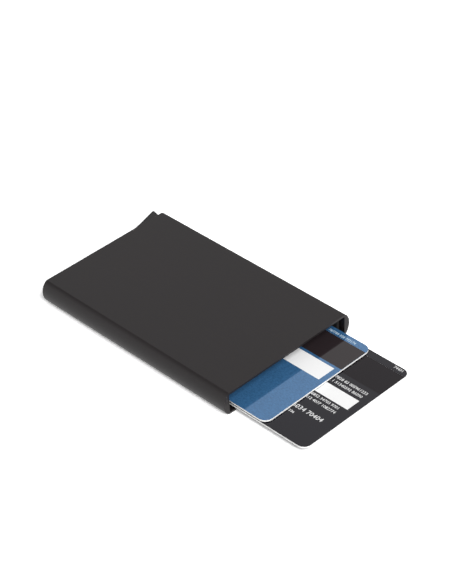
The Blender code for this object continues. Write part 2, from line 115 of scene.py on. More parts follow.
class Socket:
    """A shader socket, on which arithmetic adds the Math nodes that work it out."""

    def __init__(self, graph: "Graph", socket: bpy.types.NodeSocket) -> None:
        """Wrap a node's output."""
        self.graph = graph
        self.socket = socket

    def _math(self, operation: str, *operands: "Socket | float") -> "Socket":
        """Return the result of one Math node."""
        return self.graph.node("ShaderNodeMath", {"operation": operation}, dict(enumerate(operands)))

    def __add__(self, other: "Socket | float") -> "Socket":
        """Return self + other."""
        return self._math("ADD", self, other)

    def __radd__(self, other: float) -> "Socket":
        """Return other + self."""
        return self._math("ADD", other, self)

    def __sub__(self, other: "Socket | float") -> "Socket":
        """Return self - other."""
        return self._math("SUBTRACT", self, other)

    def __rsub__(self, other: float) -> "Socket":
        """Return other - self."""
        return self._math("SUBTRACT", other, self)

    def __mul__(self, other: "Socket | float") -> "Socket":
        """Return self * other."""
        return self._math("MULTIPLY", self, other)

    def __rmul__(self, other: float) -> "Socket":
        """Return other * self."""
        return self._math("MULTIPLY", other, self)

    def __pow__(self, other: float) -> "Socket":
        """Return self to the power of other."""
        return self._math("POWER", self, other)

    def sine(self) -> "Socket":
        """Return the sine of self."""
        return self._math("SINE", self)

    def between(self, low: float, high: float) -> "Socket":
        """Return self mapped from low..high to 0..1, and held inside that range."""
        return self.graph.node("ShaderNodeMapRange", {"clamp": True}, {0: self, 1: low, 2: high})


class Graph:
    """The node tree of a material or the world, with the one method that makes its nodes."""

    def __init__(self, owner: bpy.types.Material | bpy.types.World) -> None:
        """Take over the nodes of a material or the world, without those that it came with."""
        owner.use_nodes = True
        self.tree = owner.node_tree
        self.tree.nodes.clear()

    def node(
        self,
        kind: str,
        settings: Mapping[str, object] | None = None,
        sockets: Mapping[str | int, object] | None = None,
        output: str | int = 0,
    ) -> Socket | None:
        """Add a node.

        Args:
            kind: the node's type.
            settings: its own properties, which are set first.
            sockets: a value or a Socket for each input, by name or number.
            output: the output that is wanted, by name or number.

        Returns:
            That output, or None for a node that has none.
        """
        made = self.tree.nodes.new(kind)
        for name, value in (settings or {}).items():
            setattr(made, name, value)
        for name, value in (sockets or {}).items():
            if isinstance(value, Socket):
                self.tree.links.new(value.socket, made.inputs[name])
            else:
                made.inputs[name].default_value = value
        return Socket(self, made.outputs[output]) if len(made.outputs) else None

    def axis(self, name: str) -> Socket:
        """Return one object coordinate, in metres."""
        coords = self.node("ShaderNodeTexCoord", output="Object")
        return self.node("ShaderNodeSeparateXYZ", sockets={0: coords}, output=name)

    def mix(self, share: Socket, first: "Socket | Colour", second: "Socket | Colour") -> Socket:
        """Return the colour that lies share of the way from first to second."""
        ends = [end if isinstance(end, Socket) else (*end, 1.0) for end in (first, second)]
        settings = {"data_type": "RGBA", "clamp_factor": True}
        # The node's colours are its inputs 6 and 7 and its output 2; the others serve numbers and vectors.
        return self.node("ShaderNodeMix", settings, {0: share, 6: ends[0], 7: ends[1]}, 2)


@dataclass(frozen=True, kw_only=True)
class Layer:
    """A variation from 0 to 1 over a surface, with its weights in the colour, roughness and relief."""

    tone: float = 0.0
    rough: float = 0.0
    relief: float = 0.0

    def value(self, graph: Graph) -> Socket:
        """Return the variation."""
        raise NotImplementedError


@dataclass(frozen=True, kw_only=True)
class Grain(Layer):
    """Noise with features of one size, in metres, which may be drawn out along the axes."""

    size: float
    stretch: Triple = (1.0, 1.0, 1.0)
    detail: float = 2.0
    span: Span = (0.0, 1.0)

    def value(self, graph: Graph) -> Socket:
        """Return the noise, with its span mapped to 0..1."""
        scale = tuple(1.0 / (self.size * longer) for longer in self.stretch)
        coords = graph.node("ShaderNodeTexCoord", output="Object")
        place = graph.node("ShaderNodeMapping", sockets={"Vector": coords, "Scale": scale})
        sockets = {"Vector": place, "Scale": 1.0, "Detail": self.detail}
        return graph.node("ShaderNodeTexNoise", sockets=sockets).between(*self.span)


@dataclass(frozen=True, kw_only=True)
class Waves(Layer):
    """Straight waves, a pitch apart, that follow each other in one direction."""

    way: Triple
    pitch: float
    span: Span = (-1.0, 1.0)

    def value(self, graph: Graph) -> Socket:
        """Return the waves, with the span of their sine mapped to 0..1."""
        phase = sum(graph.axis(name) * part for name, part in zip("XYZ", self.way) if part)
        return (phase * (math.tau / self.pitch)).sine().between(*self.span)


@dataclass(frozen=True, kw_only=True)
class Hatch(Layer):
    """A fine slanted hatch in two directions, of which the second is wider."""

    pitch: float
    second_share: float = 0.6
    span: Span = (-0.6, 0.6)

    def value(self, graph: Graph) -> Socket:
        """Return the hatch, with the span of its waves mapped to 0..1."""
        x, y = graph.axis("X"), graph.axis("Y")
        turns = math.tau / self.pitch
        first = ((x + y) * turns).sine()
        second = ((x - y) * (turns * self.second_share)).sine()
        return (first * second).between(*self.span)


@dataclass(frozen=True, kw_only=True)
class Rings(Layer):
    """Turned rings, a pitch apart, round an upright axis."""

    centre: Point
    pitch: float

    def value(self, graph: Graph) -> Socket:
        """Return the rings."""
        x = graph.axis("X") - self.centre[0]
        y = graph.axis("Y") - self.centre[1]
        return ((x * x + y * y) ** 0.5 * (math.tau / self.pitch)).sine().between(-1.0, 1.0)


@dataclass(frozen=True, kw_only=True)
class Finish:
    """A surface finish, varied by layers between two shades of its colour.

    The tones of its layers add up to a share. Its reach is the range of that share over which the colour
    goes from the first shade to the second. The depth of its relief is in metres.
    """

    name: str
    colour: Colour
    roughness: float
    shades: Span
    depth: float
    layers: tuple[Layer, ...]
    reach: Span = (0.0, 1.0)
    metallic: float = 0.0
    gloss: float = 0.5

    def material(self) -> bpy.types.Material:
        """Return this finish's material, which is made once."""
        known = bpy.data.materials.get(self.name)
        if known:
            return known
        material = bpy.data.materials.new(self.name)
        material.diffuse_color = (*self.colour, 1.0)
        graph = Graph(material)
        inputs = {"Metallic": self.metallic, "Specular IOR Level": self.gloss, **self.surface(graph)}
        shader = graph.node("ShaderNodeBsdfPrincipled", sockets=inputs)
        graph.node("ShaderNodeOutputMaterial", sockets={"Surface": shader})
        return material

    def surface(self, graph: Graph) -> dict[str, Socket]:
        """Return the colour, roughness and relief that vary over the surface."""
        layers = [(layer, layer.value(graph)) for layer in self.layers]
        share = sum(value * layer.tone for layer, value in layers if layer.tone)
        rough = sum((value - 0.5) * layer.rough for layer, value in layers if layer.rough)
        height = sum(value * layer.relief for layer, value in layers if layer.relief)
        ends = [tuple(channel * factor for channel in self.colour) for factor in self.shades]
        return {
            "Base Color": graph.mix(share.between(*self.reach), *ends),
            "Roughness": rough + self.roughness,
            "Normal": graph.node("ShaderNodeBump", sockets={"Height": height, "Distance": self.depth}),
        }


# Blasted and anodised aluminium: an even fine grain over faint drawing lines along Y.
SHELL = Finish(
    name="black_anodised", colour=(0.0114, 0.0088, 0.0094), roughness=0.42,
    shades=(0.8, 1.2), reach=(0.3, 0.7), depth=0.000005,
    layers=(
        Grain(size=0.00014, detail=3.0, tone=0.2, rough=0.08, relief=0.8),
        Grain(size=0.00035, stretch=(1.0, 260.0, 1.0), tone=0.3, relief=0.2),
        Grain(size=0.016, stretch=(1.0, 1.6, 1.0), detail=3.0, tone=0.5, rough=0.08),
    ),
    gloss=0.41,
)
# Injection-moulded plastic with a spark-eroded texture and faint flow shading.
PLASTIC = Finish(
    name="black_moulded_plastic", colour=(0.011, 0.0095, 0.0105), roughness=0.42,
    shades=(0.85, 1.2), depth=0.00001,
    layers=(
        Grain(size=0.00022, rough=0.16, relief=1.0),
        Grain(size=0.006, stretch=(2.0, 1.0, 1.0), tone=1.0, rough=0.08),
    ),
    gloss=0.38,
)
# Pressed felt: matted fibres with an uneven nap.
FELT = Finish(
    name="charcoal_felt", colour=(0.020, 0.019, 0.019), roughness=0.95,
    shades=(0.4, 1.7), depth=0.00008,
    layers=(
        Grain(size=0.00012, stretch=(1.0, 3.0, 1.0), detail=4.0, tone=0.7, rough=0.1, relief=0.6),
        Grain(size=0.0008, tone=0.3, relief=0.4),
    ),
    gloss=0.2,
)
# Natural nylon sheet: a milky cloud, and rub marks along Y.
NYLON = Finish(
    name="natural_nylon", colour=(0.70, 0.69, 0.65), roughness=0.40,
    shades=(0.92, 1.04), depth=0.000004,
    layers=(
        Grain(size=0.004, tone=1.0),
        Grain(size=0.0003, stretch=(1.0, 120.0, 1.0), rough=0.22, relief=1.0),
    ),
)
# The white core of a card, where it shows at the punched edge.
CORE = Finish(
    name="white_card_core", colour=(0.92, 0.92, 0.91), roughness=0.40,
    shades=(0.97, 1.02), depth=0.000006,
    layers=(
        Waves(way=(0.0, 0.0, 1.0), pitch=0.00019, tone=0.5),
        Grain(size=0.0004, stretch=(1.0, 1.0, 6.0), tone=0.5, rough=0.2, relief=1.0),
    ),
)
# The printed faces of the cards under their film: a fine slanted hatch over a fine mottle.
BLUE_PRINT = Finish(
    name="blue_card_print", colour=(0.047, 0.158, 0.336), roughness=0.06,
    shades=(0.65, 1.35), depth=0.000004,
    layers=(
        Hatch(pitch=0.00080, tone=0.35),
        Grain(size=0.00045, stretch=(1.0, 2.0, 1.0), span=(0.3, 0.7), tone=0.5),
        Grain(size=0.010, tone=0.15, rough=0.04, relief=1.0),
    ),
    metallic=0.25,
    gloss=1.0,
)
BLACK_PRINT = replace(
    BLUE_PRINT, name="black_card_print", colour=(0.0075, 0.0065, 0.0110), roughness=0.10,
    shades=(0.95, 1.05), metallic=0.0, gloss=0.37,
)
# The dark film on each card's underside and at the foot of its edge is painted shade. It stands for the
# shadow that falls under the card.
PAINTED_UNDER_SHADE = replace(
    BLACK_PRINT, name="painted_under_shade_card", colour=(0.0120, 0.0120, 0.0140), roughness=0.15, gloss=0.5
)
# Magnetic tape: smooth and dark, with faint streaks along the card.
BLUE_TAPE = Finish(
    name="brown_black_tape", colour=(0.0236, 0.0172, 0.0190), roughness=0.06,
    shades=(0.85, 1.15), depth=0.000001,
    layers=(
        Grain(size=0.00025, stretch=(1.0, 200.0, 1.0), tone=0.5, rough=0.06, relief=1.0),
        Grain(size=0.008, tone=0.5),
    ),
    gloss=0.40,
)
BLACK_TAPE = replace(
    BLUE_TAPE, name="grey_black_tape", colour=(0.0040, 0.0012, 0.0036), roughness=0.12, gloss=0.28
)
# The matt white panel for a signature, with a very fine slanted rule.
PANEL = Finish(
    name="signature_panel_white", colour=(0.92, 0.92, 0.92), roughness=0.55,
    shades=(1.0, 0.96), depth=0.000005,
    layers=(
        Waves(way=(0.35, 1.0, 0.0), pitch=0.0006, span=(0.86, 0.98), tone=1.0),
        Grain(size=0.00012, detail=3.0, rough=0.12, relief=1.0),
    ),
)
# Screen-printed ink, a little uneven.
WHITE_INK = Finish(
    name="white_ink", colour=(0.85, 0.85, 0.85), roughness=0.40,
    shades=(0.85, 1.05), depth=0.000003,
    layers=(Grain(size=0.00025, tone=1.0, rough=0.2, relief=1.0),),
)
PALE_INK = replace(WHITE_INK, name="pale_blue_ink", colour=(0.60, 0.75, 0.86), roughness=0.35)
# Gold-plated contacts: a fine rolled grain with light tarnish.
CONTACTS = Finish(
    name="gold_contacts", colour=(0.80, 0.58, 0.24), roughness=0.24,
    shades=(0.82, 1.1), depth=0.000003,
    layers=(
        Grain(size=0.0001, stretch=(1.0, 20.0, 1.0), rough=0.15, relief=1.0),
        Grain(size=0.002, detail=3.0, tone=1.0, rough=0.1),
    ),
    metallic=1.0,
)


def turned_steel(piece: str, centre: Point) -> Finish:
    """Return the steel of a turned piece, whose rings lie round its centre."""
    return Finish(
        name=f"turned_steel_{piece}", colour=(0.56, 0.56, 0.57), roughness=0.33,
        shades=(0.8, 1.12), depth=0.000003,
        layers=(
            Rings(centre=centre, pitch=0.00009, rough=0.06, relief=1.0),
            Grain(size=0.0009, detail=3.0, tone=1.0, rough=0.2),
        ),
        metallic=1.0,
    )


def link(name: str, data: bpy.types.ID) -> bpy.types.Object:
    """Return a new object of the scene, made of a mesh, a curve, a lamp or a camera."""
    item = bpy.data.objects.new(name, data)
    bpy.context.scene.collection.objects.link(item)
    return item


def worked_out(item: bpy.types.Object) -> bpy.types.Mesh:
    """Return the mesh that an object comes to with its modifiers."""
    return bpy.data.meshes.new_from_object(item.evaluated_get(bpy.context.evaluated_depsgraph_get()))


class Solid:
    """A closed solid in the making: a bmesh, and the few moves that the pieces share."""

    def __init__(self) -> None:
        """Start empty."""
        self.bm = bmesh.new()

    @classmethod
    def prism(cls, corners: Sequence[Corner], low: float, high: float) -> "Solid":
        """Raise an outline.

        Args:
            corners: X, Y and the radius of the fillet of each corner.
            low: the height of the underside.
            high: the height of the top.

        Returns:
            The prism.
        """
        solid = cls()
        verts = [solid.bm.verts.new((x, y, low)) for x, y, _ in corners]
        solid.bm.faces.new(verts)
        for vert, (_, _, radius) in zip(verts, corners):
            if radius:
                sides = [edge.other_vert(vert).co - vert.co for edge in vert.link_edges]
                setback = radius / math.tan(sides[0].angle(sides[1]) / 2.0)
                solid.bevel([vert], setback, FILLET_STEPS, Affect.CORNERS)
        solid.extrude(solid.bm.faces[:], Vector((0.0, 0.0, high - low)))
        return solid

    @classmethod
    def block(cls, low: Sequence[float], high: Sequence[float], radius: float = 0.0) -> "Solid":
        """Return an upright block between two corners, with round upright edges."""
        (x0, y0, z0), (x1, y1, z1) = low, high
        corners = [(x0, y0, radius), (x1, y0, radius), (x1, y1, radius), (x0, y1, radius)]
        return cls.prism(corners, z0, z1)

    @classmethod
    def turned(cls, profile: Sequence[Point], centre: Point) -> "Solid":
        """Turn a profile about an upright axis.

        Args:
            profile: the radius and height of its points. A profile off the axis is closed into a ring.
            centre: where the axis stands.

        Returns:
            The turned solid.
        """
        solid = cls()
        bm = solid.bm
        verts = [bm.verts.new((radius, 0.0, height)) for radius, height in profile]
        edges = [bm.edges.new(pair) for pair in zip(verts, verts[1:])]
        if profile[0][0]:
            edges.append(bm.edges.new((verts[-1], verts[0])))
        bmesh.ops.spin(
            bm, geom=verts + edges, cent=(0.0, 0.0, 0.0), axis=(0.0, 0.0, 1.0), angle=math.tau,
            steps=ROUND_STEPS, use_merge=True,
        )
        bmesh.ops.remove_doubles(bm, verts=bm.verts[:], dist=WELD)
        bmesh.ops.translate(bm, vec=(*centre, 0.0), verts=bm.verts[:])
        bmesh.ops.recalc_face_normals(bm, faces=bm.faces[:])
        return solid

    @classmethod
    def rod(cls, centre: Point, radius: float, low: float, high: float, bore: float = 0.0) -> "Solid":
        """Return a round upright bar, or a ring where it has a bore."""
        return cls.turned([(bore, low), (radius, low), (radius, high), (bore, high)], centre)

    @classmethod
    def from_node(cls, node: str) -> "Solid":
        """Return a merged copy of a node's mesh, with one face for each flat face."""
        solid = cls()
        bm = solid.bm
        bm.from_mesh(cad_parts[node].data)
        bmesh.ops.remove_doubles(bm, verts=bm.verts[:], dist=WELD)
        bmesh.ops.dissolve_limit(
            bm, angle_limit=FLAT_ANGLE, use_dissolve_boundaries=False, verts=bm.verts[:], edges=bm.edges[:]
        )
        return solid

    def bevel(self, geom: Sequence[object], width: float, steps: int, affect: Affect) -> None:
        """Bevel corners or edges."""
        bmesh.ops.bevel(
            self.bm, geom=list(geom), offset=width, offset_type="OFFSET", segments=steps, profile=0.5,
            affect=affect.value, clamp_overlap=True, material=-1,
        )

    def extrude(self, faces: Sequence[bmesh.types.BMFace], offset: Vector) -> None:
        """Draw faces out by an offset."""
        made = bmesh.ops.extrude_face_region(self.bm, geom=list(faces))["geom"]
        verts = [item for item in made if isinstance(item, bmesh.types.BMVert)]
        bmesh.ops.translate(self.bm, vec=offset, verts=verts)
        bmesh.ops.recalc_face_normals(self.bm, faces=self.bm.faces[:])

    def soften(self, radius: float, steps: int = FINE_STEPS) -> "Solid":
        """Round the sharp edges, and return this solid."""
        sharp = [edge for edge in self.bm.edges if edge.calc_face_angle(0.0) > SMOOTH_ANGLE]
        self.bevel(sharp, radius, steps, Affect.EDGES)
        return self

    def combine(self, other: "Solid", merge: Merge) -> None:
        """Join another solid to this one, or cut it out, which uses the other up."""
        items = []
        for name, solid in (("kept", self), ("tool", other)):
            bmesh.ops.recalc_face_normals(solid.bm, faces=solid.bm.faces[:])
            mesh = bpy.data.meshes.new(name)
            solid.bm.to_mesh(mesh)
            items.append(link(name, mesh))
        kept, tool = items
        modifier = kept.modifiers.new("merge", "BOOLEAN")
        modifier.operation = merge.value
        modifier.object = tool
        result = worked_out(kept)
        self.bm.clear()
        self.bm.from_mesh(result)
        other.bm.free()
        for mesh in (kept.data, tool.data, result):
            bpy.data.meshes.remove(mesh)

    def mesh(self, name: str) -> bpy.types.Mesh:
        """Return the finished mesh, with its faces out and its round faces smooth."""
        bm = self.bm
        bmesh.ops.remove_doubles(bm, verts=bm.verts[:], dist=WELD)
        bmesh.ops.recalc_face_normals(bm, faces=bm.faces[:])
        for face in bm.faces:
            face.smooth = True
        for edge in bm.edges:
            edge.smooth = edge.calc_face_angle(math.pi) < SMOOTH_ANGLE
        mesh = bpy.data.meshes.new(name)
        bm.to_mesh(mesh)
        bm.free()
        return mesh


def upright(node: str) -> tuple[Point, float, float, float]:
    """Return where the axis of a round upright node stands, and its radius, underside and top."""
    low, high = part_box(node)
    middle = (low + high) / 2.0
    return (middle.x, middle.y), (high.x - low.x) / 2.0, low.z, high.z


def add_piece(
    name: str, solid: Solid, finishes: Sequence[Finish], body: Body, nodes: Sequence[str] = ()
) -> None:
    """Add a finished piece to the model.

    Args:
        name: the piece's name.
        solid: its solid, already in its place.
        finishes: the finish of each of its material slots.
        body: the body that it rides on.
        nodes: the nodes that it stands for.
    """
    mesh = solid.mesh(name)
    for finish in finishes:
        mesh.materials.append(finish.material())
    piece = link(name, mesh)
    weighted = piece.modifiers.new("weighted_normals", "WEIGHTED_NORMAL")
    weighted.keep_sharp = True
    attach(piece, body.value)
    if nodes:
        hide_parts(*nodes)
    LOG.info("%s: %d faces, on %s", name, len(mesh.polygons), body.value)


@dataclass
class Sleeve:
    """The extruded sleeve: flat plates, bowed sides, open ends and two countersunk holes underneath."""

    plate_wall: float = 0.0009
    side_bulge: float = 0.00255
    side_inset: float = 0.00005
    side_half_turn: float = math.radians(75.0)
    cavity_corner: float = 0.0005
    corner_steps: int = 31
    outer_round: float = 0.00014
    inner_round: float = 0.00006
    crease_round: float = 0.00012
    sink_radius: float = 0.0015
    sink_depth: float = 0.0006
    shank_radius: float = 0.0009

    def build(self) -> None:
        """Build the sleeve in place of its node."""
        self.low, self.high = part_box("case_shell")
        solid = self.tube()
        for screw in ("end_screw_left", "end_screw_middle"):
            solid.combine(self.countersink(screw), Merge.CUT)
        add_piece("sleeve", solid, [SHELL], Body.CASE, ["case_shell"])

    def tube(self) -> Solid:
        """Return the tube: its end face, bridged between two loops of equal count, drawn out along Y."""
        solid = Solid()
        self.draw_outside(solid.bm)
        self.draw_cavity(solid)
        bmesh.ops.bridge_loops(solid.bm, edges=solid.bm.edges[:])
        solid.extrude(solid.bm.faces[:], Vector((0.0, self.high.y - self.low.y, 0.0)))
        solid.bevel(self.creases(solid.bm), self.crease_round, FINE_STEPS, Affect.EDGES)
        for outside, radius in ((True, self.outer_round), (False, self.inner_round)):
            solid.bevel(self.rims(solid.bm, outside), radius, BROAD_STEPS, Affect.EDGES)
        return solid

    def draw_outside(self, bm: bmesh.types.BMesh) -> None:
        """Draw the outer section: elliptic arcs at the sides, joined by the flat plates."""
        middle = (self.low.z + self.high.z) / 2.0
        rise = (middle - self.low.z) / math.sin(self.side_half_turn)
        depth = self.side_bulge / (1.0 - math.cos(self.side_half_turn))
        centre = self.high.x - depth
        start = bm.verts.new((centre + rise * math.cos(self.side_half_turn), self.low.y, self.low.z))
        bmesh.ops.spin(
            bm, geom=[start], cent=(centre, self.low.y, middle), axis=(0.0, -1.0, 0.0),
            angle=2.0 * self.side_half_turn, steps=2 * self.corner_steps + 1,
        )
        squash = (depth / rise, 1.0, 1.0)
        bmesh.ops.scale(bm, vec=squash, space=Matrix.Translation((-centre, 0.0, 0.0)), verts=bm.verts[:])
        bmesh.ops.mirror(bm, geom=bm.verts[:] + bm.edges[:], matrix=Matrix(), merge_dist=0.0, axis="X")
        for height in (self.low.z, self.high.z):
            bm.edges.new([vert for vert in bm.verts if abs(vert.co.z - height) < WELD])

    def cavity(self) -> tuple[float, float, float]:
        """Return the cavity's half width, floor and ceiling."""
        half = self.high.x - self.side_bulge - self.side_inset
        return half, self.low.z + self.plate_wall, self.high.z - self.plate_wall

    def draw_cavity(self, solid: Solid) -> None:
        """Draw the section of the cavity: a rectangle with small round corners."""
        half, floor, ceiling = self.cavity()
        corners = [(-half, floor), (half, floor), (half, ceiling), (-half, ceiling)]
        verts = [solid.bm.verts.new((x, self.low.y, z)) for x, z in corners]
        solid.bm.faces.new(verts)
        solid.bevel(verts, self.cavity_corner, self.corner_steps, Affect.CORNERS)
        bmesh.ops.delete(solid.bm, geom=solid.bm.faces[:], context="FACES_ONLY")

    def creases(self, bm: bmesh.types.BMesh) -> list[bmesh.types.BMEdge]:
        """Return the four long edges where the bowed sides meet the flat plates."""
        crease = self.high.x - self.side_bulge
        chosen = []
        for edge in bm.edges:
            first, last = (vert.co for vert in edge.verts)
            along = abs(first.x - last.x) + abs(first.z - last.z) < WELD
            if along and abs(abs(first.x) - crease) < WELD and edge.calc_face_angle(0.0) > FLAT_ANGLE:
                chosen.append(edge)
        return chosen

    def rims(self, bm: bmesh.types.BMesh, outside: bool) -> list[bmesh.types.BMEdge]:
        """Return the sharp edges round both open ends, outside or inside."""
        half, floor, ceiling = self.cavity()
        chosen = []
        for edge in bm.edges:
            place = (edge.verts[0].co + edge.verts[1].co) / 2.0
            at_end = min(abs(place.y - self.low.y), abs(place.y - self.high.y)) < WELD
            inside = abs(place.x) < half + WELD and floor - WELD < place.z < ceiling + WELD
            if at_end and inside != outside and edge.calc_face_angle(0.0) > SMOOTH_ANGLE:
                chosen.append(edge)
        return chosen

    def countersink(self, screw: str) -> Solid:
        """Return the cutter of the countersunk hole for a screw."""
        centre, _, head_z, _ = upright(screw)
        below, above = -self.plate_wall, 2.0 * self.plate_wall
        profile = [
            (0.0, below),
            (self.sink_radius, below),
            (self.sink_radius, head_z),
            (self.shank_radius, head_z + self.sink_depth),
            (self.shank_radius, above),
            (0.0, above),
        ]
        return Solid.turned(profile, centre)


@dataclass
class Linings:
    """The felt strips on the inner side walls, and the thin pad on the floor."""

    felt_round: float = 0.00035
    pad_corner: float = 0.0020
    pad_round: float = 0.00008

    def build(self) -> None:
        """Build the strips and the pad."""
        for side in ("left", "right"):
            node = f"{side}_friction_strip"
            strip = Solid.block(*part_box(node)).soften(self.felt_round, BROAD_STEPS)
            add_piece(f"felt_strip_{side}", strip, [FELT], Body.CASE, [node])
        pad = Solid.block(*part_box("glide_pad"), self.pad_corner).soften(self.pad_round)
        add_piece("floor_pad", pad, [NYLON], Body.CASE, ["glide_pad"])


@dataclass
class EndFitting:
    """The moulded block and cover at the lever end, with their screws, pins and washers."""

    edge_round: float = 0.00012
    panel_margin: float = 0.0010
    panel_depth: float = 0.00020
    pin_round: float = 0.00020
    washer_round: float = 0.00008
    washer_gap: float = 0.0003
    head_round: float = 0.00006
    shank_share: float = 0.5
    recess_length: float = 0.0016
    recess_width: float = 0.00036
    recess_depth: float = 0.00042

    def build(self) -> None:
        """Build the block, the cover, both screws, the pins and the washers."""
        block = Solid.from_node("end_block")
        self.sink_rear_face(block)
        block.soften(self.edge_round)
        add_piece("rear_block", block, [PLASTIC], Body.CASE, ["end_block"])
        cover = Solid.from_node("end_cover").soften(self.edge_round)
        add_piece("rear_cover", cover, [PLASTIC], Body.CASE, ["end_cover"])
        for side in ("left", "middle"):
            self.build_screw(f"end_screw_{side}", f"countersunk_screw_{side}")
        self.build_pin("pivot_pin", "lever_pivot", Body.CASE)
        self.build_pin("drive_pin", "arm_pin", Body.LEVER)
        for side in ("lower", "upper"):
            self.build_washer(f"pivot_washer_{side}", f"hub_washer_{side}")

    def sink_rear_face(self, block: Solid) -> None:
        """Sink the middle of the block's rear face into a shallow moulded panel."""
        rear = max(face.calc_center_median().y for face in block.bm.faces)
        outer = [face for face in block.bm.faces if rear - face.calc_center_median().y < WELD]
        largest = max(outer, key=lambda face: face.calc_area())
        for inward, rise in ((self.panel_margin, 0.0), (self.panel_depth, -self.panel_depth)):
            bmesh.ops.inset_region(
                block.bm, faces=[largest], thickness=inward, depth=rise, use_even_offset=True
            )

    def build_screw(self, node: str, name: str) -> None:
        """Build a countersunk screw with a cross recess in its head."""
        centre, head, low, high = upright(node)
        shank = head * self.shank_share
        profile = [(0.0, low), (head, low), (shank, low + head - shank), (shank, high), (0.0, high)]
        screw = Solid.turned(profile, centre).soften(self.head_round)
        half_length, half_width = self.recess_length / 2.0, self.recess_width / 2.0
        for half_x, half_y in ((half_length, half_width), (half_width, half_length)):
            start = (centre[0] - half_x, centre[1] - half_y, low - self.recess_depth)
            end = (centre[0] + half_x, centre[1] + half_y, low + self.recess_depth)
            screw.combine(Solid.block(start, end, half_width / 2.0), Merge.CUT)
        add_piece(name, screw, [turned_steel(name, centre)], Body.CASE, [node])

    def build_pin(self, node: str, name: str, body: Body) -> None:
        """Build a plain pin with rounded ends."""
        centre, radius, low, high = upright(node)
        pin = Solid.rod(centre, radius, low, high).soften(self.pin_round, SOFT_STEPS)
        add_piece(name, pin, [turned_steel(name, centre)], body, [node])

    def build_washer(self, node: str, name: str) -> None:
        """Build a flat washer round the pivot pin."""
        centre, outer, low, high = upright(node)
        bore = upright("pivot_pin")[1] + self.washer_gap
        washer = Solid.rod(centre, outer, low, high, bore).soften(self.washer_round)
        add_piece(name, washer, [NYLON], Body.CASE, [node])


@dataclass
class Pusher:
    """The bar behind the cards, with the slotted shelf that the lever's pin runs in."""

    edge_round: float = 0.00012

    def build(self) -> None:
        """Build the pusher."""
        bar = Solid.from_node("card_pusher").soften(self.edge_round)
        add_piece("push_bar", bar, [PLASTIC], Body.PUSHER, ["card_pusher"])


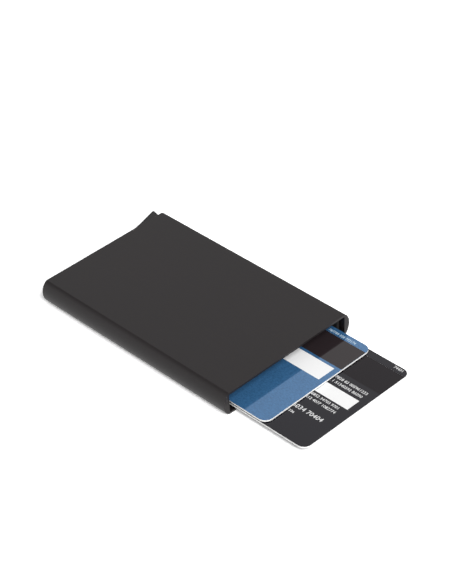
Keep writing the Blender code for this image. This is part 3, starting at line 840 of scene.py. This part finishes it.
@dataclass
class Lever:
    """The lever: a hub on the pivot pin, the fin that the finger pushes, and the arm to the drive pin."""

    neck_reach: float = 0.0070
    neck_width: float = 0.0011
    ramp_reach: float = 0.0143
    ramp_foot: float = 0.0034
    ramp_rise: float = 0.0001
    head_reach: float = 0.0098
    head_foot: float = 0.0003
    head_rise: float = 0.0015
    bend_x: float = -0.0070
    bend_rise: float = 0.0021
    bend_round: float = 0.0060
    foot_x: float = 0.0016
    waist_x: float = 0.00185
    waist_rise: float = 0.0019
    hollow_round: float = 0.0020
    tip_x: float = 0.00259
    tip_rise: float = 0.00031
    tip_round: float = 0.00072
    core_foot_x: float = 0.0010
    core_inset: float = 0.0003
    core_setback: float = 0.0010
    head_edge: float = 0.00014
    core_edge: float = 0.00020
    hub_radius: float = 0.0020
    arm_thickness: float = 0.0019
    arm_tip_radius: float = 0.0018
    gap: float = 0.0003

    def build(self) -> None:
        """Build the lever in place of its node."""
        self.low, self.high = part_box("eject_lever")
        self.pivot = Vector(upright("pivot_pin")[0])
        self.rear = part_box("case_shell")[1].y - self.pivot.y
        solid = self.head()
        for part in (self.core(), self.neck(), self.hub(), self.arm()):
            solid.combine(part, Merge.JOIN)
        for pin in ("pivot_pin", "drive_pin"):
            solid.combine(self.bore(pin), Merge.CUT)
        add_piece("finger_lever", solid, [PLASTIC], Body.LEVER, ["eject_lever"])

    def raised(self, corners: Sequence[Corner], low: float, high: float) -> Solid:
        """Return the prism of an outline whose corners are given about the pivot."""
        placed = [(x + self.pivot.x, y + self.pivot.y, radius) for x, y, radius in corners]
        return Solid.prism(placed, low, high)

    def head(self) -> Solid:
        """Return the full-height fin: a long ramp, a round tip and a hollow push face."""
        tip_y = self.high.y - self.pivot.y + self.tip_rise
        corners = [
            (-self.head_reach, self.rear + self.head_foot, 0.0),
            (self.foot_x, self.rear + self.head_foot, 0.0),
            (self.waist_x, self.rear + self.waist_rise, self.hollow_round),
            (self.tip_x, tip_y, self.tip_round),
            (self.bend_x, self.rear + self.bend_rise, self.bend_round),
            (-self.head_reach, self.rear + self.head_rise, 0.0),
        ]
        return self.raised(corners, self.low.z, self.high.z).soften(self.head_edge, BROAD_STEPS)

    def core(self) -> Solid:
        """Return the ramp's lower part, which reaches through the opening to the hub."""
        tip_y = self.high.y - self.pivot.y - self.core_inset
        corners = [
            (-self.ramp_reach, self.ramp_foot, 0.0),
            (self.core_foot_x, self.ramp_foot, 0.0),
            (self.core_foot_x, self.rear + self.head_foot, 0.0),
            (self.waist_x - self.core_inset, self.rear + self.waist_rise, 0.0),
            (self.tip_x - 2.0 * self.core_inset, tip_y, self.tip_round),
            (self.bend_x, self.rear + self.bend_rise - self.core_inset, 0.0),
            (-self.head_reach, self.rear + self.head_rise - self.core_inset, 0.0),
            (-self.ramp_reach, self.rear + self.ramp_rise, 0.0),
        ]
        low, high = self.low.z + self.core_setback, self.high.z - self.core_setback
        return self.raised(corners, low, high).soften(self.core_edge, SOFT_STEPS)

    def hub_heights(self) -> tuple[float, float]:
        """Return the underside and the top of the hub, between its washers."""
        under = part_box("pivot_washer_lower")[1].z + self.gap
        return under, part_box("pivot_washer_upper")[0].z - self.gap

    def neck(self) -> Solid:
        """Return the neck that joins the ramp to the hub."""
        corners = [
            (0.0, 0.0, 0.0),
            (self.neck_width, 0.0, 0.0),
            (self.neck_width, self.rear, 0.0),
            (-self.neck_reach, self.rear, 0.0),
        ]
        return self.raised(corners, *self.hub_heights())

    def hub(self) -> Solid:
        """Return the hub."""
        hub = Solid.rod(tuple(self.pivot), self.hub_radius, *self.hub_heights())
        return hub.soften(self.core_edge, SOFT_STEPS)

    def arm(self) -> Solid:
        """Return the arm, which tapers from the hub to a round end about the drive pin."""
        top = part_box("drive_pin")[1].z
        tip, root = self.arm_tip_radius, self.hub_radius
        end = self.low.x - self.pivot.x
        corners = [(end, -tip, tip), (0.0, -root, 0.0), (0.0, root, 0.0), (end, tip, tip)]
        return self.raised(corners, top - self.arm_thickness, top).soften(self.core_edge, SOFT_STEPS)

    def bore(self, pin: str) -> Solid:
        """Return the cutter of the bore for a pin."""
        centre, radius, _, _ = upright(pin)
        return Solid.rod(centre, radius + self.gap, self.low.z, self.high.z)


@dataclass(frozen=True)
class PrintLine:
    """A line of plain digits on a card, which reads towards the card's front end."""

    groups: tuple[int, ...]
    across: float
    start: float
    height: float
    seed: int

    def text(self) -> str:
        """Return the line's digits, in its groups."""
        draw = random.Random(self.seed)
        return " ".join("".join(str(draw.randrange(10)) for _ in range(size)) for size in self.groups)


@dataclass(frozen=True)
class CardStyle:
    """What tells one card from the other."""

    node: str
    body: Body
    slot: Slot
    face: Finish
    tape: Finish
    ink: Finish
    lines: tuple[PrintLine, ...]


@dataclass
class Card:
    """A bank card: a white core between a printed film and a dark film of painted shade, with stripe, panel,
    contacts and small print.
    """

    style: CardStyle
    corner: float = 0.00318
    film: float = 0.00002
    # The dark film under the core is painted shade, which stands for the shadow beneath the card's edge.
    under_film: float = 0.00009
    edge_round: float = 0.00003
    inlay: float = 0.00003
    pocket_gap: float = 0.00001
    stripe_margin: float = 0.00006
    inlay_edge: float = 0.00001
    chip_corner: float = 0.0015
    chip_groove: float = 0.00012
    groove_depth: float = 0.00002
    column_share: float = 0.22
    row_share: float = 0.25
    ink_thickness: float = 0.000008
    digit_share: float = 0.7
    bolder: float = 0.00002
    digit_steps: int = 2

    def build(self) -> None:
        """Build the card, its inlays and its print."""
        style = self.style
        self.low, self.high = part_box(style.node)
        blank = self.blank()
        for label, corner in (("stripe", 0.0), ("signature_panel", 0.0), ("chip", self.chip_corner)):
            blank.combine(self.pocket(label, corner), Merge.CUT)
        self.sort_faces(blank)
        finishes = [style.face, CORE, PAINTED_UNDER_SHADE]
        add_piece(f"{style.node}_body", blank, finishes, style.body, [style.node])
        self.build_inlay("stripe", style.tape)
        self.build_inlay("signature_panel", PANEL)
        self.build_contacts()
        self.build_print()

    def blank(self) -> Solid:
        """Return the punched card, split at the borders between its films and its core."""
        solid = Solid.block(self.low, self.high, self.corner)
        bm = solid.bm
        for height in (self.low.z + self.under_film, self.high.z - self.film):
            geom = bm.verts[:] + bm.edges[:] + bm.faces[:]
            bmesh.ops.bisect_plane(bm, geom=geom, plane_co=(0.0, 0.0, height), plane_no=(0.0, 0.0, 1.0))
        return solid.soften(self.edge_round)

    def inlay_box(self, label: str) -> tuple[Vector, Vector]:
        """Return the lowest and highest corner of an inlay, kept just inside the card's ends."""
        low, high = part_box(f"{self.style.node}_{label}")
        low.y = max(low.y, self.low.y + self.stripe_margin)
        high.y = min(high.y, self.high.y - self.stripe_margin)
        if label != "chip":
            low.z = high.z - self.inlay
        return low, high

    def pocket(self, label: str, corner: float) -> Solid:
        """Return the cutter of an inlay's pocket, open to the face that the inlay lies in."""
        low, high = self.inlay_box(label)
        gap = Vector((self.pocket_gap, self.pocket_gap, self.pocket_gap))
        through = Vector((0.0, 0.0, self.film))
        if high.z > (self.low.z + self.high.z) / 2.0:
            return Solid.block(low - gap, high + gap + through, corner)
        return Solid.block(low - gap - through, high + gap, corner)

    def sort_faces(self, blank: Solid) -> None:
        """Give the core's faces the second finish, and those of the dark underside, which is painted shade,
        the third.
        """
        core_top, core_foot = self.high.z - self.film, self.low.z + self.under_film
        for face in blank.bm.faces:
            height = face.calc_center_median().z
            face.material_index = int(height < core_top) + int(height < core_foot)

    def build_inlay(self, label: str, finish: Finish) -> None:
        """Build a flat inlay of the card's upper face."""
        node = f"{self.style.node}_{label}"
        inlay = Solid.block(*self.inlay_box(label)).soften(self.inlay_edge)
        add_piece(f"{node}_film", inlay, [finish], self.style.body, [node])

    def build_contacts(self) -> None:
        """Build the contact plate on the underside: eight pads round a middle field, parted by grooves."""
        node = f"{self.style.node}_chip"
        low, high = self.inlay_box("chip")
        plate = Solid.block(low + Vector((0.0, 0.0, self.groove_depth)), high, self.chip_corner)
        bm = plate.bm
        size, centre = high - low, (low + high) / 2.0
        columns = (-self.column_share, self.column_share)
        rows = (-self.row_share, 0.0, self.row_share)
        cuts = [(Vector((1.0, 0.0, 0.0)), share * size.x) for share in columns]
        cuts += [(Vector((0.0, 1.0, 0.0)), share * size.y) for share in rows]
        for normal, offset in cuts:
            geom = dict.fromkeys(item for face in self.under(bm) for item in (face, *face.edges, *face.verts))
            place = centre + normal * offset
            bmesh.ops.bisect_plane(bm, geom=list(geom), plane_co=place, plane_no=normal)
        half_column = self.column_share * size.x
        across = [(face, abs(face.calc_center_median().x - centre.x)) for face in self.under(bm)]
        bmesh.ops.dissolve_faces(bm, faces=[face for face, offset in across if offset < half_column])
        pads = self.under(bm)
        bmesh.ops.inset_individual(
            bm, faces=pads, thickness=self.chip_groove, depth=self.groove_depth, use_even_offset=True
        )
        add_piece(f"{node}_contacts", plate, [CONTACTS], self.style.body, [node])

    @staticmethod
    def under(bm: bmesh.types.BMesh) -> list[bmesh.types.BMFace]:
        """Return the faces that look straight down."""
        return [face for face in bm.faces if face.normal.z < FACES_DOWN]

    def build_print(self) -> None:
        """Build the card's small print as one thin layer of ink."""
        style = self.style
        ink = Solid()
        for line in style.lines:
            mesh = self.line_mesh(line)
            ink.bm.from_mesh(mesh)
            bpy.data.meshes.remove(mesh)
        add_piece(f"{style.node}_small_print", ink, [style.ink], style.body)

    def line_mesh(self, line: PrintLine) -> bpy.types.Mesh:
        """Return a line of digits as a thin mesh on the card's upper face."""
        curve = bpy.data.curves.new("line", "FONT")
        curve.body = line.text()
        curve.size = line.height / self.digit_share
        curve.extrude = self.ink_thickness / 2.0
        curve.offset = self.bolder
        curve.resolution_u = self.digit_steps
        mesh = worked_out(link("line", curve))
        bpy.data.curves.remove(curve)
        place = Vector((line.across, self.low.y + line.start, self.high.z + self.ink_thickness))
        mesh.transform(Matrix.Translation(place) @ Matrix.Rotation(-math.pi / 2.0, 4, "Z"))
        return mesh


UPPER_LINES = (
    PrintLine((6, 3, 6), 0.0244, 0.0186, 0.0011, 11),
    PrintLine((3, 4, 4, 2), 0.0244, 0.0440, 0.0011, 12),
    PrintLine((4, 3, 5, 2, 4), -0.0110, 0.0800, 0.0011, 13),
    PrintLine((2, 4, 4, 3), -0.0135, 0.0800, 0.0011, 14),
)
LOWER_LINES = (
    PrintLine((4, 6, 2, 9), 0.0075, 0.0240, 0.00128, 21),
    PrintLine((3, 3, 1, 8, 5), 0.0051, 0.0240, 0.00128, 22),
    PrintLine((2, 8, 5, 4), -0.0047, 0.0240, 0.00126, 23),
    PrintLine((9, 4, 7), -0.0071, 0.0240, 0.00126, 24),
    PrintLine((4, 5), -0.0134, 0.0190, 0.0020, 25),
    PrintLine((3,), -0.0163, 0.0178, 0.0011, 26),
    PrintLine((5,), 0.0251, 0.0065, 0.0012, 27),
)

STYLES = (
    CardStyle(
        "upper_card", Body.UPPER_CARD, Slot.BLUE_CARD, BLUE_PRINT, BLUE_TAPE, PALE_INK, UPPER_LINES
    ),
    CardStyle(
        "lower_card", Body.LOWER_CARD, Slot.BLACK_CARD, BLACK_PRINT, BLACK_TAPE, WHITE_INK, LOWER_LINES
    ),
)


@dataclass(frozen=True)
class Shade:
    """A soft shading of the dome of light, which is darkest in one direction.

    The level is the brightness there, and the fall is how fast it brightens away from there.
    """

    middle: Triple
    level: float
    fall: float

    def brightness(self, graph: Graph, way: Socket) -> Socket:
        """Return the brightness, from 0 to 1, in the direction that is looked in."""
        settings = {"operation": "DOT_PRODUCT"}
        facing = graph.node("ShaderNodeVectorMath", settings, {0: way, 1: self.middle}, "Value")
        return ((1.0 - facing) * self.fall + self.level).between(0.0, 1.0)


@dataclass
class Studio:
    """The plain floor, the soft light and the camera.

    The floor has one colour for the light that it throws back, and a brighter one for the camera, in which
    all but the contact shadow comes out white.
    """

    floor_size: float = 6.0
    floor_cells: int = 4
    floor_gap: float = 0.00005
    floor_glow: float = 0.60
    floor_lift: float = 0.15
    floor_colour: Colour = (0.95, 0.95, 0.95)
    floor_seen: Colour = (1.55, 1.55, 1.55)
    camera_azimuth: float = math.radians(-43.394)
    camera_elevation: float = math.radians(37.244)
    camera_roll: float = math.radians(-2.608)
    camera_distance: float = 0.68795
    camera_target: Triple = (0.0001, 0.0025, 0.0)
    camera_shift: Point = (0.01327, 0.00825)
    camera_lens: float = 115.86
    sensor: float = 36.0
    near_share: float = 0.1
    even_light: Colour = (0.30, 0.30, 0.30)
    upper_shade: Shade = Shade((-0.1, 0.6, 0.794), 0.26, 2.7)
    side_shade: Shade = Shade((0.81, 0.58, 0.09), 0.10, 7.5)
    lamp_place: Triple = (-0.35, -1.80, 1.75)
    lamp_size: float = 2.0
    lamp_power: float = 80.0

    def build(self) -> None:
        """Build floor, light and camera, and set the view transform."""
        self.build_floor()
        self.build_world()
        self.build_lamp()
        self.build_camera()
        bpy.context.scene.view_settings.view_transform = "Standard"

    def build_floor(self) -> None:
        """Build the floor, which looks white and still takes a soft shadow."""
        bm = bmesh.new()
        bmesh.ops.create_grid(
            bm, x_segments=self.floor_cells, y_segments=self.floor_cells, size=self.floor_size / 2.0,
            matrix=Matrix.Translation((0.0, 0.0, -self.floor_gap)),
        )
        mesh = bpy.data.meshes.new("floor")
        bm.to_mesh(mesh)
        bm.free()
        material = bpy.data.materials.new("studio_floor")
        graph = Graph(material)
        direct, mirrored = self.sight(graph)
        colour = graph.mix(direct, self.floor_colour, self.floor_seen)
        diffuse = graph.node("ShaderNodeBsdfDiffuse", sockets={"Color": colour})
        plain = {"Color": (*WHITE, 1.0)}
        lift = graph.node("ShaderNodeEmission", sockets={**plain, "Strength": direct * self.floor_lift})
        lit = graph.node("ShaderNodeAddShader", sockets={0: diffuse, 1: lift})
        white = graph.node("ShaderNodeEmission", sockets={**plain, "Strength": 1.0})
        share = mirrored * self.floor_glow
        surface = graph.node("ShaderNodeMixShader", sockets={0: share, 1: lit, 2: white})
        graph.node("ShaderNodeOutputMaterial", sockets={"Surface": surface})
        mesh.materials.append(material)
        floor = link("floor", mesh)

    @staticmethod
    def sight(graph: Graph) -> tuple[Socket, Socket]:
        """Return 1 for camera rays, and 1 for glossy and transmission rays, which mirror the surroundings."""
        kinds = ("Camera", "Glossy", "Transmission")
        rays = [graph.node("ShaderNodeLightPath", output=f"Is {kind} Ray") for kind in kinds]
        direct, glossy, through = rays
        return direct, (glossy + through).between(0.0, 1.0)

    def build_world(self) -> None:
        """Light the scene evenly from all round, with a softly shaded dome that only reflections show."""
        world = bpy.data.worlds.new("studio")
        graph = Graph(world)
        direct, mirrored = self.sight(graph)
        way = graph.node("ShaderNodeTexCoord", output="Generated")
        dome = self.upper_shade.brightness(graph, way) * self.side_shade.brightness(graph, way)
        light = graph.mix(mirrored, self.even_light, dome)
        colour = graph.mix(direct, light, WHITE)
        background = graph.node("ShaderNodeBackground", sockets={"Color": colour, "Strength": 1.0})
        graph.node("ShaderNodeOutputWorld", sockets={"Surface": background})
        bpy.context.scene.world = world

    def build_lamp(self) -> None:
        """Hang one large soft lamp above and before the mouth."""
        lamp = bpy.data.lights.new("softbox", "AREA")
        lamp.shape = "SQUARE"
        lamp.size = self.lamp_size
        lamp.energy = self.lamp_power
        item = link("softbox", lamp)
        item.location = self.lamp_place
        item.rotation_euler = (-Vector(self.lamp_place)).to_track_quat("-Z", "Y").to_euler()
        item.visible_glossy = False

    def build_camera(self) -> None:
        """Set up the camera at the angle and distance that the cards' edges give."""
        level, rise = math.cos(self.camera_elevation), math.sin(self.camera_elevation)
        side, ahead = math.sin(self.camera_azimuth), -math.cos(self.camera_azimuth)
        back = Vector((side * level, ahead * level, rise))
        right = Matrix.Rotation(self.camera_roll, 3, back) @ Vector((0.0, 0.0, 1.0)).cross(back).normalized()
        up = back.cross(right)
        across, upward = self.camera_shift
        place = Vector(self.camera_target) + right * across + up * upward + back * self.camera_distance
        camera = bpy.data.cameras.new("camera")
        camera.lens = self.camera_lens
        camera.sensor_width = self.sensor
        camera.clip_start = self.camera_distance * self.near_share
        camera.clip_end = self.floor_size * 2.0
        item = link("camera", camera)
        item.matrix_world = Matrix.Translation(place) @ Matrix((right, up, back)).transposed().to_4x4()
        bpy.context.scene.camera = item


def main() -> None:
    """Build every sub-assembly, then the studio."""
    logging.basicConfig(level=logging.INFO, format="%(message)s")
    parts = [Sleeve(), Linings(), EndFitting(), Pusher(), Lever()]
    parts += [Card(style) for style in STYLES]
    for part in parts:
        part.build()
    Studio().build()


if __name__ == "__main__":
    main()
